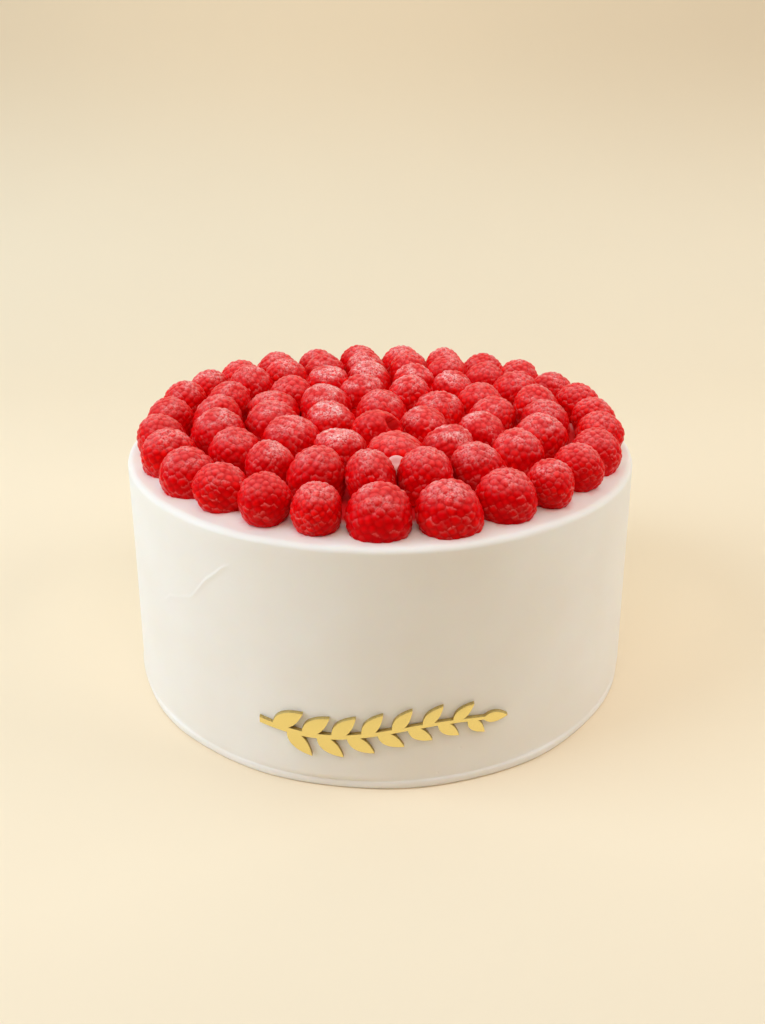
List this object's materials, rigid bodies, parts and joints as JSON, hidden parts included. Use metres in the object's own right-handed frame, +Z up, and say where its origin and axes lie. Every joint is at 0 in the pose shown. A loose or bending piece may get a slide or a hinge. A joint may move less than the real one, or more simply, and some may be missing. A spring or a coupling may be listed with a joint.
{
  "type": "wedding cake",
  "caption": "Round one-tier cake under smooth white icing, its top covered by rings of upright raspberries, with a cut gold leaf sprig on the lower front.",
  "frame": {"origin": "centre of the cake's underside, where it rests", "axes": "+Z up through the raspberries; -Y is the front, where the leaf sprig is; +X to the right seen from the front"},
  "size_m": [0.2031, 0.2037, 0.1092],
  "materials": {
    "icing": "smooth white whipped icing, satin, faint scraper marks",
    "raspberry": "fresh raspberry, soft sheen, pale bloom on the upper drupelets",
    "gold_sheet": "mirror gold sheet with a darker laser-cut edge"
  },
  "bodies": {
    "root": {"iced_cake": "icing", "raspberry_outer_01": "raspberry", "raspberry_outer_02": "raspberry", "raspberry_outer_03": "raspberry", "raspberry_outer_04": "raspberry", "raspberry_outer_05": "raspberry", "raspberry_outer_06": "raspberry", "raspberry_outer_07": "raspberry", "raspberry_outer_08": "raspberry", "raspberry_outer_09": "raspberry", "raspberry_outer_10": "raspberry", "raspberry_outer_11": "raspberry", "raspberry_outer_12": "raspberry", "raspberry_outer_13": "raspberry", "raspberry_outer_14": "raspberry", "raspberry_outer_15": "raspberry", "raspberry_outer_16": "raspberry", "raspberry_outer_17": "raspberry", "raspberry_outer_18": "raspberry", "raspberry_outer_19": "raspberry", "raspberry_outer_20": "raspberry", "raspberry_outer_21": "raspberry", "raspberry_outer_22": "raspberry", "raspberry_outer_23": "raspberry", "raspberry_outer_24": "raspberry", "raspberry_outer_25": "raspberry", "raspberry_outer_26": "raspberry", "raspberry_outer_27": "raspberry", "raspberry_middle_01": "raspberry", "raspberry_middle_02": "raspberry", "raspberry_middle_03": "raspberry", "raspberry_middle_04": "raspberry", "raspberry_middle_05": "raspberry", "raspberry_middle_06": "raspberry", "raspberry_middle_07": "raspberry", "raspberry_middle_08": "raspberry", "raspberry_middle_09": "raspberry", "raspberry_middle_10": "raspberry", "raspberry_middle_11": "raspberry", "raspberry_middle_12": "raspberry", "raspberry_middle_13": "raspberry", "raspberry_middle_14": "raspberry", "raspberry_middle_15": "raspberry", "raspberry_middle_16": "raspberry", "raspberry_middle_17": "raspberry", "raspberry_middle_18": "raspberry", "raspberry_middle_19": "raspberry", "raspberry_middle_20": "raspberry", "raspberry_middle_21": "raspberry", "raspberry_heap": "raspberry", "gold_leaf_sprig": "gold_sheet"}
  },
  "joints": []
}
